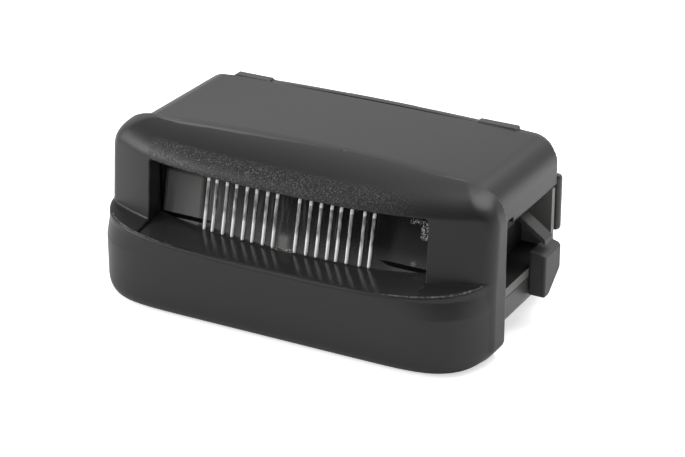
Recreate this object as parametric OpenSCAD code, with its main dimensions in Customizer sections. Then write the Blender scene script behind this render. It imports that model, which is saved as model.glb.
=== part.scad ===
// Number plate lamp for the rear of a van or car.
// X is right, Y is towards the back, Z is up. The lowest line of the cover is at Z = 0.
// The cover's rear rim is the plane that most lengths are counted from.

/* [Overall] */
// Width of the cover, side to side
cover_w = 102; // [90:1:120]
// Depth of the whole lamp, front of the chin to back of the rear plate
body_d = 58; // [54:1:70]
// Height of the cover at its sides
side_h = 42; // [36:0.1:50]
// How far the roof falls from the cover's front to its rear edge, at the sides
roof_fall = 0.7; // [0.3:0.1:1.5]
// Wall thickness of the cover
wall = 2; // [1.6:0.1:2.6]

/* [Cover front] */
// Depth of the cover from its rear rim to the front of the chin
cover_d = 22; // [20:0.5:26]
// Rise of the brow's arch above the sides
arch_rise = 1.6; // [0.5:0.1:4]
// Rise of the roof's crown at its rear edge
crown_rise = 0.6; // [0.2:0.1:2]
// Radius of the cover's upper corners
top_r = 7.5; // [6:0.5:12]
// Radius of the roof's upper corners
roof_r = 6.2; // [5:0.1:9]
// Radius of the cover's lower corners
bottom_r = 7; // [6:0.5:12]
// Depth of the brow in front of the rim, at the middle
brow_d = 17.3; // [15:0.1:18]
// How far the face sweeps back from the middle to the sides
face_sweep = 8.8; // [5:0.1:11]
// How far the foot of the face leans out in front of its head
face_lean = 1.5; // [0:0.1:2]
// Height of the chin's lip as a share of the cover's height
lip_share = 0.448; // [0.42:0.001:0.47]
// How far the ends of the lip's bow stand inside the cover's sides
lip_inset = 0.2; // [0.1:0.1:1]

/* [Window] */
// Width of the window
window_w = 74; // [60:1:78]
// Height of the window's lower edge as a share of the cover's height
window_share = 0.512; // [0.5:0.001:0.53]
// Height of the window itself as a share of the cover's height
window_h_share = 0.357; // [0.3:0.001:0.37]
// Wall of the frame behind the window
frame_wall = 1.5; // [1.2:0.1:2]
// Where the frame behind the window ends, in front of the rim
frame_back = 9.6; // [9:0.1:10]

/* [Lens] */
// Thickness of the clear lens
lens_t = 2; // [1.5:0.1:2.5]
// Gap between the lens and the window frame
lens_gap = 0.2; // [0.1:0.05:0.4]
// Number of prism ribs in each of the two groups
rib_count = 8; // [4:1:9]
// Spacing of the ribs
rib_pitch = 2.7; // [2.2:0.1:3]
// Distance from the middle to the first rib
rib_start = 3; // [2:0.1:5]
// Radius of a rib
rib_r = 0.55; // [0.4:0.05:0.8]
// Thickness of the lens seal
seal_t = 1; // [0.8:0.1:1.5]
// Thickness of the lens flange
flange_t = 1.2; // [1:0.1:1.6]
// Width of the lens flange
flange_w = 2.4; // [2:0.1:2.6]

/* [Housing] */
// Step from the cover's side to the housing's side
side_step = 2.1; // [0.6:0.1:2.4]
// Height of the underside of the base
base_z = 4.5; // [4:0.1:6]
// Height of the base's side walls
base_h = 7.5; // [6:0.1:8]
// Wall thickness of the base
base_wall = 2; // [1.6:0.1:2.4]
// Radius along the base's lower edges
base_r = 3; // [2.5:0.1:4]
// Thickness of the carrier's plate, seen as the sill of the side opening
sill_t = 2.3; // [2:0.1:3]
// Gap in the seam between neighbouring housing parts
seam = 0.2; // [0.1:0.05:0.3]
// Height of the side bands, from the roof down
band_h = 12.4; // [11:0.1:14]
// Space between the carrier's back wall and the back of the lamp
back_space = 6; // [5:0.5:7]
// Thickness of the carrier's walls
carrier_wall = 1.6; // [1.2:0.1:2]
// Space between the carrier's side walls and the housing's sides
side_space = 7.9; // [7:0.1:9]

/* [Rear plate] */
// Thickness of the rear plate
plate_t = 2.3; // [2.1:0.1:3]
// Gap between the roof and the rear plate
plate_gap = 0.7; // [0.5:0.1:1]
// How far the rear plate's edge stands inside the housing's side
plate_inset = 2.3; // [1.8:0.1:2.6]
// How far the ears stand out from the rear plate
ear_out = 1.6; // [1:0.1:2]
// Height of the lower end of the ears
ear_z = 20.5; // [19:0.5:22]
// Height of the ears
ear_h = 14; // [10:0.5:15]

/* [Latches] */
// Thickness of a latch block, sideways
block_t = 4; // [3:0.1:5]
// Depth of a latch block, front to back
block_d = 8.8; // [6:0.1:9]
// Height of a latch block
block_h = 11.6; // [9:0.1:12]
// Height of the lower end of a latch block
block_z = 7.6; // [7:0.1:9]
// Distance from the back of the lamp to the back of a latch block
block_back = 11; // [10:0.1:13]
// Thickness of the latch arm
arm_t = 1.3; // [1:0.1:1.8]
// Width of the latch arm
arm_w = 6; // [4:0.1:7]

/* [Light source] */
// Diameter of the festoon bulb's glass
bulb_dia = 10; // [8:0.5:11]
// Length of the festoon bulb between its contacts
bulb_len = 36; // [34:0.5:38]
// Diameter of the bulb's end caps
cap_dia = 7.4; // [7:0.1:8]
// Distance from the rim to the bulb's axis
bulb_y = 9; // [7:0.5:12]
// How far the bulb's axis lies below the window's middle
bulb_drop = 3; // [1:0.5:4]
// Thickness of the brass contact strips
strip_t = 0.6; // [0.5:0.1:0.8]
// Width of the brass contact strips
strip_w = 5; // [4:0.5:6]
// Wall of the reflector
reflector_wall = 1.2; // [1:0.1:1.5]

/* [Connector] */
// Inside width of the connector socket
socket_w = 16; // [14:0.5:18]
// Inside height of the connector socket
socket_h = 11; // [10.5:0.1:12]
// Wall of the connector socket
socket_wall = 1.3; // [1:0.1:1.6]
// Depth of the connector socket
socket_d = 8.5; // [8:0.5:9]
// Height of the socket's middle
socket_z = 13.8; // [13.6:0.1:14.2]
// Distance between the two blades
blade_gap = 8; // [7:0.5:9]
// Width of a blade
blade_w = 2.8; // [2:0.1:3]

/* [Screws] */
// Thread radius of the rear plate's screws
screw_r = 1.2; // [1:0.1:1.4]
// Radius of a screw head
head_r = 2.4; // [2.2:0.1:2.6]
// Height of a screw head
head_h = 1.3; // [1:0.1:1.5]
// Length of a screw below its head
screw_len = 7; // [5:0.5:8]
// Distance of the screws from the housing's sides
screw_inset = 5.9; // [5.7:0.1:6.4]
// Height of the lower screws above the base's underside
screw_rise = 4.5; // [4.3:0.1:4.7]
// How far the upper screws lie below the roof
screw_drop = 6.6; // [6.4:0.1:7]

/* [Hidden] */
$fn = 32;
eps = 0.01;
half_w = cover_w / 2;
house_w = half_w - side_step;
rear_h = side_h - roof_fall;
lip_z = side_h * lip_share;
lip_half_w = half_w - lip_inset;
window_z = side_h * window_share;
window_h = side_h * window_h_share;
band_z = side_h - band_h;
carrier_side_x = house_w - side_space;
screw_x = house_w - screw_inset;
screw_low_z = base_z + screw_rise;
screw_high_z = side_h - screw_drop;
rim_y = cover_d - body_d / 2;
back_y = body_d - cover_d;
roof_end = back_y - plate_t - plate_gap;
block_y = back_y - block_back - block_d;
back_wall_y = back_y - back_space;
chamber_end = back_wall_y - 3.5;
base_top = base_z + base_h;
sill_z = base_top + seam;
sill_top = sill_z + sill_t;
window_top = window_z + window_h;
bulb_z = window_z + window_h / 2 - bulb_drop;
window_half = window_w / 2;
lens_half = window_half - lens_gap;
lens_low = window_z + lens_gap;
lens_high = window_top - lens_gap;
flange_y = -frame_back + seal_t;
flange_end = flange_y + flange_t;
carrier_x = house_w - 0.4;
socket_y = back_y - socket_d;
socket_out = socket_wall + 0.2;
strip_x = bulb_len / 2;
blade_t = 0.8;
tray_z = lip_z - 1.6;

// Points of an arc, counted anticlockwise from angle a to angle b.
function arc(x, y, r, a, b, n) =
  [for (i = [0:n]) [x + r * cos(a + (b - a) * i / n), y + r * sin(a + (b - a) * i / n)]];

// Rise of an arch at a distance x from the middle.
function bump(x, rise, half) = rise * max(0, 1 - pow(x / half, 2));

// Outline of the lamp seen from the front: round corners and an arched top.
function outline(w, low, high, rise, r_low, r_high, n) = concat(
  arc(w - r_low, low + r_low, r_low, -90, 0, 6),
  arc(w - r_high, high - r_high, r_high, 0, 82, 7),
  [for (i = [1:n - 1]) let (x = (w - r_high) * (1 - 2 * i / n)) [x, high + bump(x, rise, w - r_high)]],
  arc(r_high - w, high - r_high, r_high, 98, 180, 7),
  arc(r_low - w, low + r_low, r_low, 180, 270, 6));

// Front edge of the chin in plan: a squarish bow.
function chin_y(x) = -cover_d * pow(max(0, 1 - pow(min(1, abs(x) / lip_half_w), 6)), 0.5);

// Swept-back face that carries the window, in plan.
function face_y(x) = -brow_d + face_sweep * pow(abs(x) / half_w, 3);

// Spread of columns from -1 to 1 that lie closer together towards the ends.
function spread(n) = [for (i = [-n:n]) i / n + 0.12 * sin(180 * i / n)];

// Draws a flat outline given in X and Z, from the plane y0 back to y1.
module along_y(y0, y1) translate([0, y1, 0]) rotate([90, 0, 0]) linear_extrude(y1 - y0) children();

// Box given by its low and high corners.
module box(low, high) translate(low) cube(high - low);

module at_rim() translate([0, rim_y, 0]) children();

// Front of the cover as a solid: side profile, plan and front outline cut through one another.
module cap_form() {
  low = face_lean + brow_d;
  intersection() {
    along_y(-cover_d - 1, 0)
      polygon(outline(half_w, 0, side_h, arch_rise, bottom_r, top_r, 10));
    translate([-half_w - 1, 0, 0]) rotate([90, 0, 90]) linear_extrude(cover_w + 2) polygon(concat(
      [[0, 0]], arc(5 - cover_d, 5, 5, 270, 180, 5), [[-cover_d, lip_z], [-low, window_z], [-brow_d, window_top]],
      [for (i = [1:9]) [-brow_d * cos(10 * i), window_top + (side_h + arch_rise - window_top) * sin(10 * i)]]));
    union() {
      translate([0, 0, -1]) linear_extrude(lip_z + 1) polygon(concat([[half_w + 1, 0], [half_w + 1, face_y(half_w)]],
        [for (u = spread(10)) [-lip_half_w * u, min(chin_y(lip_half_w * u), face_y(half_w) - eps)]],
        [[-half_w - 1, face_y(half_w)], [-half_w - 1, 0]]));
      linear_extrude(side_h + 5) polygon(concat([[half_w + 1, 0]],
        [for (u = spread(8)) [-(half_w + 1) * u, face_y(half_w * u) - face_lean * (1 - abs(u))]],
        [[-half_w - 1, 0]]));
    }
  }
}

// Hollow of the cover's front: a deep one in the chin and one behind the face.
module cap_hollow() {
  w = half_w - wall - 4;
  y = wall - cover_d;
  translate([0, 0, wall + 1]) linear_extrude(lip_z - 4.2 - wall) polygon([[w, 1], [w, y + 12],
    [w - 4, y + 7.6], [w - 10, y + 3.6], [w - 16, y + 1.6], [16 - w, y + 1.6], [10 - w, y + 3.6],
    [4 - w, y + 7.6], [-w, y + 12], [-w, 1]]);
  translate([0, 0, wall + 1]) linear_extrude(side_h - wall - 3.6)
    polygon([[w, 1], [w, 3 - frame_back], [w - 4, -frame_back], [4 - w, -frame_back], [-w, 3 - frame_back], [-w, 1]]);
  along_y(-4.8, 1)
    polygon(outline(half_w - wall, wall, side_h - wall, arch_rise, bottom_r - wall, top_r - wall, 10));
}

// Line of the roof from the foot of the right side band over to the left one.
function roof_line(t) = let (w = house_w - t, r = roof_r - t, top = (side_h + rear_h) / 2 - t,
  rise = (arch_rise + crown_rise) / 2) concat(
  [[w, band_z]], arc(w - r, top - r, r, 0, 84, 7),
  [for (i = [1:9]) let (x = (w - r) * (1 - i / 5)) [x, top + bump(x, rise, w - r)]],
  arc(r - w, top - r, r, 96, 180, 7), [[-w, band_z]]);

// Roof and side bands, one band of even thickness.
module roof_band() {
  outer = roof_line(0);
  inner = roof_line(wall);
  along_y(-1, roof_end) polygon(concat(outer, [for (i = [len(inner) - 1:-1:0]) inner[i]]));
}

// Plan of the pocket in the chin that the glossy tray lies in.
module tray_plan(gap) {
  half = window_half - gap;
  polygon(concat(
    [[half, -frame_back - gap], [half, -14]],
    [for (i = [0:14]) let (x = (half - 3) * (1 - i / 7)) [x, chin_y(x) + 1.4 + gap]],
    [[-half, -14], [-half, -frame_back - gap]]));
}

module screw_boss(x, z, length) {
  translate([x, roof_end, z]) rotate([90, 0, 0]) cylinder(r = head_r + 0.6, h = length);
}

module screw_hole(x, z, y0) {
  translate([x, back_y + 1, z]) rotate([90, 0, 0]) cylinder(r = screw_r + 0.1, h = back_y + 1 - y0);
}

module cover() color("#464646") at_rim() {
  difference() {
    union() {
      difference() {
        cap_form();
        cap_hollow();
      }
      roof_band();
      for (side = [-1, 1]) {
        screw_boss(side * screw_x, screw_high_z, 9);
        translate([side * (screw_x + house_w - 1) / 2, roof_end - 4.5, screw_high_z])
          cube([house_w - 1 - screw_x, 9, 1.6], center = true);
        box([side * screw_x - 0.8, roof_end - 9, screw_high_z], [side * screw_x + 0.8, roof_end, rear_h - 1.1]);
      }
    }
    box([-window_half, -cover_d - 1, window_z], [window_half, -frame_back + 1, window_top]);
    translate([0, 0, tray_z]) linear_extrude(window_z - tray_z + 1) tray_plan(0);
    for (side = [-1, 1]) {
      box([side * house_w - 2.2, 3.6, band_z - 1], [side * house_w + 2.2, 8.2, band_z + 2.6]);
      screw_hole(side * screw_x, screw_high_z, roof_end - screw_len);
    }
  }
}

// Lower side walls and floor, with a flange that closes the back of the chin.
module base_plan(t) {
  polygon(outline(house_w - t, base_z + t, base_top + 20, 0, base_r, 6, 2));
}

module base() color("#5a5b59") at_rim() {
  difference() {
    union() {
      difference() {
        along_y(0, roof_end) base_plan(0);
        along_y(-1, roof_end + 1) base_plan(base_wall);
      }
      along_y(-1.6, 0)
        polygon(outline(half_w - wall - seam, wall + seam, base_top + 20, 0, bottom_r - wall - seam, 6, 2));
      for (side = [-1, 1]) screw_boss(side * screw_x, screw_low_z, 9);
      for (side = [-1, 1])
        box([side * screw_x - 0.8, roof_end - 9, base_z + 1], [side * screw_x + 0.8, roof_end, screw_low_z]);
    }
    box([-cover_w, -3, base_top], [cover_w, back_y, base_top + 30]);
    for (side = [-1, 1]) screw_hole(side * screw_x, screw_low_z, roof_end - screw_len);
    box([-socket_w / 2 - socket_out, socket_y - socket_out, base_z + base_wall],
      [socket_w / 2 + socket_out, back_y, base_top + 1]);
    for (side = [-1, 1]) translate([side * house_w, 2.2, base_top - 1.4])
      rotate([0, 90, 0]) cylinder(r = 0.7, h = 1.4, center = true);
  }
}

// Plate on top of the base, with the walls that stand round the light chamber.
module carrier() color("#2a2a2a") at_rim() {
  difference() {
    union() {
      box([-house_w, 0.8, sill_z], [house_w, roof_end - 1, sill_top]);
      box([-carrier_x, back_wall_y, sill_top - eps], [carrier_x, back_wall_y + carrier_wall, band_z - seam]);
      for (side = [-1, 1]) {
        x0 = side > 0 ? carrier_side_x - carrier_wall : -carrier_side_x;
        box([x0, 1.2, sill_top - eps], [x0 + carrier_wall, back_wall_y + eps, band_z + 2]);
      }
    }
    box([-socket_w / 2 - socket_out, socket_y - socket_out, 0],
      [socket_w / 2 + socket_out, back_y, socket_z + socket_h / 2 + socket_out]);
    for (side = [-1, 1]) {
      translate([side * screw_x, back_y, screw_low_z]) rotate([90, 0, 0]) cylinder(r = head_r + 0.6 + seam, h = 14);
      x = side * blade_gap / 2;
      box([x - blade_w / 2 - 0.3, socket_y - 3.1, sill_z - 1], [x + blade_w / 2 + 0.3, socket_y, sill_top + 1]);
    }
  }
}

module plate_outline(t) {
  polygon(outline(house_w - plate_inset - t, base_z + 0.4 + t, rear_h - 0.3 - t, crown_rise, base_r, roof_r - t, 6));
}

module rear_plate() color("#4a4b49") at_rim() {
  y0 = back_y - plate_t;
  difference() {
    union() {
      along_y(y0, back_y) plate_outline(0);
      for (side = [-1, 1]) {
        x = side * (house_w - plate_inset + ear_out / 2 - 1);
        box([x - ear_out / 2 - 1, y0, ear_z], [x + ear_out / 2 + 1, back_y - 0.6, ear_z + ear_h]);
      }
      for (x = [-37.7, 31.9]) box([x - 5.5, roof_end, rear_h - 1.1], [x + 5.5, y0 + eps, rear_h - 0.3]);
    }
    box([-socket_w / 2 - socket_out, y0 - 1, socket_z - socket_h / 2 - socket_out],
      [socket_w / 2 + socket_out, back_y + 1, socket_z + socket_h / 2 + socket_out]);
    for (side = [-1, 1]) for (z = [screw_low_z, screw_high_z]) {
      screw_hole(side * screw_x, z, y0 - 1);
      translate([side * screw_x, back_y + 1, z]) rotate([90, 0, 0]) cylinder(r = head_r + 0.2, h = head_h + 1);
    }
  }
}

module seal_outline(t) {
  polygon(outline(house_w - plate_inset - t, base_z + 0.8 + t, rear_h - 1.4 - t, crown_rise, base_r, roof_r - t, 6));
}

module plate_seal() color("#1c1c1c") at_rim() {
  difference() {
    along_y(roof_end, back_y - plate_t) seal_outline(0.1);
    along_y(roof_end - 1, back_y) seal_outline(1.3);
  }
}

module plate_screws() color("silver") at_rim() {
  for (side = [-1, 1]) for (z = [screw_low_z, screw_high_z]) translate([side * screw_x, back_y - head_h, z])
    rotate([90, 0, 0]) difference() {
      union() {
        cylinder(r = screw_r, h = screw_len);
        translate([0, 0, -head_h]) cylinder(r = head_r, h = head_h);
      }
      for (a = [0, 90]) rotate([0, 0, a]) translate([-0.3, -1.4, -head_h - 1]) cube([0.6, 2.8, 1.7]);
    }
}

// Front surface of the lens: bowed across, and leaning out at its foot.
function lens_y(x, z) = let (t = (lens_high - z) / (lens_high - lens_low))
  -12.3 - 3.6 * t + (2.1 + 2.9 * t) * pow(x / window_half, 2);

module lens_shell() {
  n = 20;
  xs = [for (i = [0:n]) lens_half * (2 * i / n - 1)];
  pts = [for (x = xs) each [
    [x, lens_y(x, lens_low), lens_low], [x, lens_y(x, lens_high), lens_high],
    [x, lens_y(x, lens_high) + lens_t, lens_high], [x, lens_y(x, lens_low) + lens_t, lens_low]]];
  faces = concat([[3, 2, 1, 0]], [[4 * n, 4 * n + 1, 4 * n + 2, 4 * n + 3]],
    [for (i = [0:n - 1]) for (j = [0:3]) let (a = 4 * i + j, b = 4 * i + (j + 1) % 4)
      each [[a, b, a + 4], [b, b + 4, a + 4]]]);
  polyhedron(pts, faces);
}

// One prism rib, standing on the inner face of the lens.
module rib(x) {
  lean = atan2(lens_y(x, lens_low) - lens_y(x, lens_high), lens_high - lens_low);
  length = (lens_high - lens_low - 1.2) / cos(lean);
  translate([x, lens_y(x, lens_low) + lens_t - 0.1, lens_low + 0.6]) rotate([lean, 0, 0])
    cylinder(r = rib_r, h = length, $fn = 16);
}

module lens() color("#d8dde0", 0.5) at_rim() {
  difference() {
    box([-lens_half - flange_w, flange_y, lens_low - flange_w], [lens_half + flange_w, flange_end, lens_high + flange_w]);
    box([-lens_half + 1.2, flange_y - 1, lens_low + 1.2], [lens_half - 1.2, flange_end + 1, lens_high - 1.2]);
  }
  difference() {
    box([-lens_half, -13, lens_low], [lens_half, flange_y + 0.5, lens_high]);
    box([-lens_half + 1.2, -20, lens_low + 1.2], [lens_half - 1.2, 0, lens_high - 1.2]);
    lens_front_cut();
  }
  lens_shell();
  for (side = [-1, 1]) for (i = [0:rib_count - 1]) rib(side * (rib_start + rib_pitch * i));
}

// Everything in front of the lens, used to trim its side walls.
module lens_front_cut() {
  n = 20;
  xs = [for (i = [0:n]) (lens_half + 1) * (2 * i / n - 1)];
  z0 = lens_low - 1;
  z1 = lens_high + 1;
  pts = [for (x = xs) each [
    [x, lens_y(x, z0) + 0.5, z0], [x, -30, z0], [x, -30, z1], [x, lens_y(x, z1) + 0.5, z1]]];
  faces = concat([[3, 2, 1, 0]], [[4 * n, 4 * n + 1, 4 * n + 2, 4 * n + 3]],
    [for (i = [0:n - 1]) for (j = [0:3]) let (a = 4 * i + j, b = 4 * i + (j + 1) % 4)
      each [[a, b, a + 4], [b, b + 4, a + 4]]]);
  polyhedron(pts, faces);
}

module lens_seal() color("#101010") at_rim() {
  w = flange_w - 0.4;
  difference() {
    box([-lens_half - w, -frame_back, lens_low - w], [lens_half + w, flange_y, lens_high + w]);
    box([-lens_half - 0.1, -frame_back - 1, lens_low - 0.1], [lens_half + 0.1, 0, lens_high + 0.1]);
  }
}

// Glossy tray that makes the shelf between the lip and the lens.
module lens_tray() color("#151515") at_rim() {
  low = tray_z + 0.05;
  high = window_z - seam;
  y = -cover_d;
  intersection() {
    translate([0, 0, low]) linear_extrude(window_z - low) tray_plan(seam);
    translate([-window_half, 0, 0]) rotate([90, 0, 90]) linear_extrude(window_w)
      polygon([[y, low - 1], [0, low - 1], [0, high], [y + 7.5, high], [y + 1.4, lip_z], [y, lip_z]]);
  }
}

// Side profile of the light chamber.
module chamber_profile(t) {
  polygon([[flange_end + (t > 0 ? -1 : 0), lens_high + 1.4 - t], [flange_end + (t > 0 ? -1 : 0), lens_low - 1.4 + t],
    [0.5, lens_low - 1.4 + t], [4, sill_top + 0.9 + t], [chamber_end - 8.5, sill_top + 0.9 + t],
    [chamber_end - 1.5 - t, bulb_z - 6], [chamber_end - t, bulb_z], [chamber_end - 1.5 - t, bulb_z + 6],
    [chamber_end - 6.5, lens_high + 1.4 - t]]);
}

module reflector() color("#b9bbb8") at_rim() {
  half = carrier_side_x - carrier_wall - 1.6;
  difference() {
    translate([-half, 0, 0]) rotate([90, 0, 90]) linear_extrude(2 * half) chamber_profile(0);
    translate([-half + reflector_wall, 0, 0]) rotate([90, 0, 90])
      linear_extrude(2 * (half - reflector_wall)) chamber_profile(reflector_wall);
    for (side = [-1, 1]) box([side * strip_x - 1, bulb_y - strip_w / 2 - 0.4, sill_top],
      [side * strip_x + 1, bulb_y + strip_w / 2 + 0.4, sill_top + 4]);
  }
}

module bulb_glass() color("#e8eef0", 0.4) at_rim() {
  straight = bulb_len - 22;
  r = bulb_dia / 2;
  translate([-bulb_len / 2, bulb_y, bulb_z]) rotate([0, 90, 0]) rotate_extrude()
    polygon(concat([[0, 7.2], [cap_dia / 2 - 0.6, 7.2]],
      arc(r - 2.5, 11, 2.5, -60, 0, 4), arc(r - 2.5, 11 + straight, 2.5, 0, 60, 4),
      [[cap_dia / 2 - 0.6, bulb_len - 7.2], [0, bulb_len - 7.2]]));
}

module bulb_cap(side) color("#c9c9c4") at_rim() {
  r = cap_dia / 2;
  translate([side * bulb_len / 2, bulb_y, bulb_z]) rotate([0, -side * 90, 0]) rotate_extrude()
    polygon([[0, 0], [1.1, 0], [1.3, 0.6], [r - 0.3, 1.8], [r, 2.3], [r, 7.2], [0, 7.2]]);
}
module bulb_cap_left() bulb_cap(-1);
module bulb_cap_right() bulb_cap(1);

// Upright brass strip whose hole centres the end of the bulb.
module contact(side) color("#b08d57") at_rim() {
  x0 = side > 0 ? strip_x - 0.3 : -strip_x - strip_t + 0.3;
  difference() {
    union() {
      box([x0, bulb_y - strip_w / 2, sill_top], [x0 + strip_t, bulb_y + strip_w / 2, bulb_z]);
      translate([x0, bulb_y, bulb_z]) rotate([0, 90, 0]) cylinder(r = strip_w / 2, h = strip_t);
    }
    translate([x0 - 1, bulb_y, bulb_z]) rotate([0, 90, 0]) cylinder(r = 1.4, h = strip_t + 2);
  }
}
module contact_left() contact(-1);
module contact_right() contact(1);

// Flat brass strip from the foot of a contact to its blade in the socket.
module rail(side) color("#b08d57") at_rim() {
  x = side * blade_gap / 2;
  end = strip_x - 0.3;
  span = side > 0 ? [x - blade_w / 2, end] : [-end, x + blade_w / 2];
  foot = side > 0 ? [end - 2.6, end] : [-end, 2.6 - end];
  y_turn = bulb_y + strip_w / 2 + 3;
  top = sill_top + strip_t;
  box([foot[0], bulb_y - strip_w / 2, sill_top], [foot[1], y_turn, top]);
  box([span[0], y_turn - 2.6, sill_top], [span[1], y_turn, top]);
  box([x - blade_w / 2, y_turn - 1, sill_top], [x + blade_w / 2, socket_y - 2.2, top]);
  box([x - blade_w / 2, socket_y - 2.8, socket_z - blade_t / 2], [x + blade_w / 2, socket_y - 2.2, top]);
  box([x - blade_w / 2, socket_y - 2.8, socket_z - blade_t / 2], [x + blade_w / 2, back_y - 2, socket_z + blade_t / 2]);
}
module rail_left() rail(-1);
module rail_right() rail(1);

module connector_socket() color("#202020") at_rim() {
  w = socket_w / 2;
  h = socket_h / 2;
  difference() {
    box([-w - socket_wall, socket_y - socket_wall, socket_z - h - socket_wall],
      [w + socket_wall, back_y, socket_z + h + socket_wall]);
    box([-w, socket_y, socket_z - h], [w, back_y + 1, socket_z + h]);
    for (side = [-1, 1]) box([side * blade_gap / 2 - blade_w / 2 - 0.05, socket_y - 3, socket_z - blade_t / 2 - 0.05],
      [side * blade_gap / 2 + blade_w / 2 + 0.05, socket_y + 1, socket_z + blade_t / 2 + 0.05]);
  }
}

// Spring latch: a foot on the carrier's side wall, a sloping arm and a thumb block.
module latch() {
  x0 = carrier_side_x + 0.02;
  x1 = house_w + 0.4;
  mid = block_y + block_d / 2;
  top = block_z + block_h;
  along_y(mid - arm_w / 2, mid + arm_w / 2) polygon([
    [x0, band_z - 7], [x0 + arm_t, band_z - 7], [x0 + arm_t, band_z - 3.4], [house_w - 2.6, band_z - 3.4],
    [x1 + 0.6, top - 0.6], [x1 + 0.6 + arm_t * 1.6, top - 0.6], [house_w - 2, band_z - 2.1], [x0, band_z - 2.1]]);
  difference() {
    box([x1, block_y, block_z], [x1 + block_t, block_y + block_d, top]);
    translate([x1 + block_t, block_y + block_d, block_z]) rotate([0, 0, 45]) cube([3, 3, 60], center = true);
    translate([x1, block_y + block_d, block_z]) rotate([25, 0, 0]) translate([-1, -block_d, -6]) cube([block_t + 2, 20, 6]);
  }
}
module latch_left() color("#3a3a3a") at_rim() mirror([1, 0, 0]) latch();
module latch_right() color("#3a3a3a") at_rim() latch();

cover();
base();
carrier();
rear_plate();
plate_seal();
plate_screws();
lens();
lens_seal();
lens_tray();
reflector();
bulb_glass();
bulb_cap_left();
bulb_cap_right();
contact_left();
contact_right();
rail_left();
rail_right();
connector_socket();
latch_left();
latch_right();
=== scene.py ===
import math

import bpy
import numpy as np
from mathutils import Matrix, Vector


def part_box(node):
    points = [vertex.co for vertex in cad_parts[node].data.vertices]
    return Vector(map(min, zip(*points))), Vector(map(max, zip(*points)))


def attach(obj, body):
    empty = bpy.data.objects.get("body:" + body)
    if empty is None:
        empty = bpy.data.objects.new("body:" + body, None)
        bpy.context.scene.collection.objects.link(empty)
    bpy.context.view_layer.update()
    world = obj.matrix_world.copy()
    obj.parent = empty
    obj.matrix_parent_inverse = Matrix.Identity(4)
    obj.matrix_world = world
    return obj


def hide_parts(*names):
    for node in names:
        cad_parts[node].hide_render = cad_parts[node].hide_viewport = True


# The number plate lamp stands on its underside, chin to the front (-Y), width along X. Lengths in the
# form functions are millimetres, with y counted from the rear rim of the cover's front part; meshes are
# stored in metres.
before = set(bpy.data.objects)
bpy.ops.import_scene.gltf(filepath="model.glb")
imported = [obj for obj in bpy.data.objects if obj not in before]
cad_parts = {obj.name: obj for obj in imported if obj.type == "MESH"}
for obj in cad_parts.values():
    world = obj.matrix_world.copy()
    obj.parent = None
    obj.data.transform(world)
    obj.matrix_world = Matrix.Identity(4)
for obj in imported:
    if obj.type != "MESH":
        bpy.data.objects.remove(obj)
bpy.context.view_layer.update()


# Cover: one moulding of satin black ABS with a bowed chin, a swept face with the window, brow, hood, roof
# and side bands. Its form is a distance field: chin, face and hood are cut by one front outline and joined
# to the roof band behind. It snaps over the carrier and the base.
half_w = 51.5  # half the cover's width
cover_x = 0.3  # how far the cover sits to the left of the lens
chin_half = 52.3  # half the chin's width above its rounded foot
chin_reach = 22.2  # how far the lip stands in front of the rim in the middle
lip_mid = 18.3  # height of the lip in the middle
shelf_z = 21.3  # height where the shelf behind the lip meets the face
crease_z = 36.5  # height where the face turns into the hood
sweep = 8.6  # how far the face falls back at x = 50
roof_half = 48.9  # half the width of the roof band
roof_end = 33.0  # rear edge of the roof
rim_y = round(1000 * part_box("cover")[1][1] - roof_end, 3)  # the rear rim's place in the part frame
band_z = 29.6  # lower edge of the side bands
window_half = 37.0  # half the window's width
pocket_z = 16.6  # floor of the pocket that holds the lens tray
room_back = -5.0  # how far back the window and the pocket reach


def colour(code):
    """Linear colour of an sRGB hex code."""
    parts = [int(code[i:i + 2], 16) / 255 for i in (1, 3, 5)]
    return tuple(c / 12.92 if c <= 0.04045 else ((c + 0.055) / 1.055) ** 2.4 for c in parts) + (1.0,)


def round_max(a, b, r):
    """Intersection of two distance fields whose shared edge is rounded with radius r."""
    return np.minimum(np.maximum(a, b), -r) + np.hypot(np.maximum(a + r, 0), np.maximum(b + r, 0))


def round_min(a, b, r):
    """Union of two distance fields whose shared inner edge is filled with radius r."""
    return -round_max(-a, -b, r)


def unit(f, x, y, z, e=0.02):
    """Field f divided by the length of its gradient, so that it measures millimetres near its surface."""
    gx = f(x + e, y, z) - f(x - e, y, z)
    gy = f(x, y + e, z) - f(x, y - e, z)
    gz = f(x, y, z + e) - f(x, y, z - e)
    return f(x, y, z) / np.maximum(np.sqrt(gx * gx + gy * gy + gz * gz) / (2 * e), 1e-3)


def block(x, y, z, low, high, r):
    """Distance field of a box between two corners with all edges rounded by r."""
    d = [np.abs(v - (a + b) / 2) - (b - a) / 2 + r for v, a, b in zip((x, y, z), low, high)]
    out = np.sqrt(sum(np.maximum(v, 0) ** 2 for v in d))
    return out + np.minimum(np.maximum(np.maximum(d[0], d[1]), d[2]), 0) - r


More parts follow.
